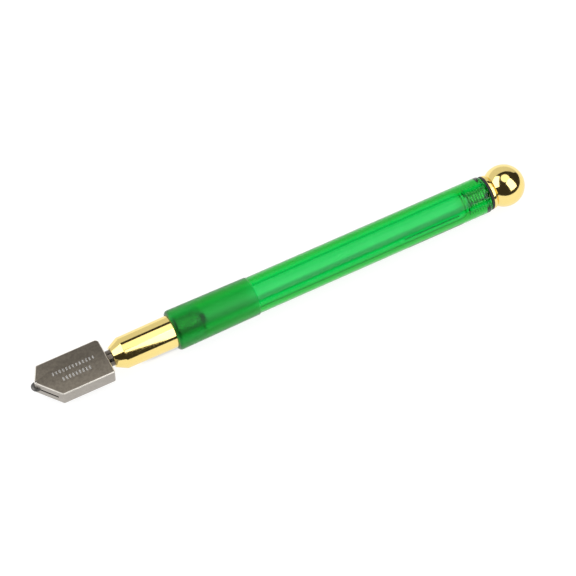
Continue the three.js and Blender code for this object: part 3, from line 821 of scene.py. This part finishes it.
def make_stage():
    """A pale floor that runs up into a low backdrop behind the tool, and is darker under the handle."""
    profile = [(FLOOR_FRONT_Y, 0.0), (FLOOR_BACK_Y, 0.0)]
    for k in range(1, 13):
        angle = TURN / 4 * k / 12
        profile.append((FLOOR_BACK_Y + BEND_RADIUS * math.sin(angle), BEND_RADIUS * (1 - math.cos(angle))))
    profile.append((FLOOR_BACK_Y + BEND_RADIUS, BACKDROP_TOP))
    points, faces = [], []
    for y, z in profile:
        points += [Vector((-FLOOR_HALF_WIDTH, y, z)), Vector((FLOOR_HALF_WIDTH, y, z))]
    for k in range(len(profile) - 1):
        faces.append([2 * k, 2 * k + 1, 2 * k + 3, 2 * k + 2])
    sweep = finish_mesh("paper_sweep", mesh_of("paper_sweep", points, faces))
    look = Look("paper").set(metallic=0.0, roughness=0.9)
    look.mottle(look.noise(3, 2), (0.21, 0.21, 0.21), (0.20, 0.20, 0.20))
    look.shader.inputs["Emission Color"].default_value = (1, 1, 1, 1)
    separate = look.node("ShaderNodeSeparateXYZ", vector=look.position)
    glow = look.remap(separate.outputs["Y"], FLOOR_GLOW, BACKDROP_GLOW, GLOW_FADE_START, FLOOR_BACK_Y)
    off_focus = look.math("SUBTRACT", FOCUS_Y * MM, separate.outputs["Y"])
    middle_x = FRONT_X + SHADOW_MIDDLE_X * MM
    off_middle = look.math("ABSOLUTE", look.math("SUBTRACT", separate.outputs["X"], middle_x))

    def fade(value, before, after, limits):
        return look.remap(value, before, after, limits[0] * MM, limits[1] * MM)

    shadow = look.math("MULTIPLY", fade(off_focus, 0, 1, SHADOW_NEAR_FADE),
                       fade(off_focus, 1, 0, SHADOW_FAR_FADE))
    shadow = look.math("MULTIPLY", shadow, fade(off_middle, SHADOW_DEPTH, 0, SHADOW_END_FADE))
    look.feed("Emission Strength", look.math("MULTIPLY", glow, look.math("SUBTRACT", 1.0, shadow)))
    sweep.data.materials.append(look.material)


def add_lamp(name, azimuth, elevation, width, height, radiance, roll=0.0, shape="RECTANGLE"):
    """A flat lamp in a direction from the tool, facing it. Its angles are in degrees, and so are its width
    and height, as they look from the tool."""
    data = bpy.data.lights.new(name, "AREA")
    data.shape = shape
    data.size = 2 * LAMP_DISTANCE * math.tan(math.radians(width / 2))
    data.size_y = 2 * LAMP_DISTANCE * math.tan(math.radians(height / 2))
    area = data.size * data.size_y * (1 if shape == "RECTANGLE" else math.pi / 4)
    data.energy = radiance * math.pi * area
    lamp = bpy.data.objects.new(name, data)
    around, up = math.radians(azimuth), math.radians(elevation)
    direction = Vector((math.cos(around) * math.cos(up), math.sin(around) * math.cos(up), math.sin(up)))
    lamp.location = direction * LAMP_DISTANCE
    facing = lamp.location.to_track_quat("Z", "Y").to_matrix() @ Matrix.Rotation(math.radians(roll), 3, "Z")
    lamp.rotation_euler = facing.to_euler()
    bpy.context.scene.collection.objects.link(lamp)


def make_light():
    world = bpy.data.worlds.new("studio")
    world.use_nodes = True
    world.node_tree.nodes["Background"].inputs["Color"].default_value = (0.04, 0.037, 0.033, 1)
    bpy.context.scene.world = world
    add_lamp("left_softbox", 158, 46, 58, 37, 2.7, roll=-14)
    add_lamp("right_softbox", -51.5, 43.5, 40, 52, 2.6, roll=-10)
    add_lamp("overhead_lamp", 23, 79, 44, 44, 1.45, shape="ELLIPSE")


def make_camera():
    back = Vector((-math.sin(CAMERA_AZIMUTH) * math.cos(CAMERA_ELEVATION),
                   -math.cos(CAMERA_AZIMUTH) * math.cos(CAMERA_ELEVATION),
                   math.sin(CAMERA_ELEVATION)))
    data = bpy.data.cameras.new("camera")
    data.sensor_width = SENSOR_WIDTH
    data.lens = CAMERA_LENS
    data.clip_start, data.clip_end = 0.01, 10
    camera = bpy.data.objects.new("camera", data)
    camera.location = to_row(*CAMERA_AT)
    camera.rotation_euler = back.to_track_quat("Z", "Y").to_euler()
    bpy.context.scene.collection.objects.link(camera)
    bpy.context.scene.camera = camera


make_stage()
make_light()
make_camera()
bpy.context.scene.view_settings.view_transform = "Standard"
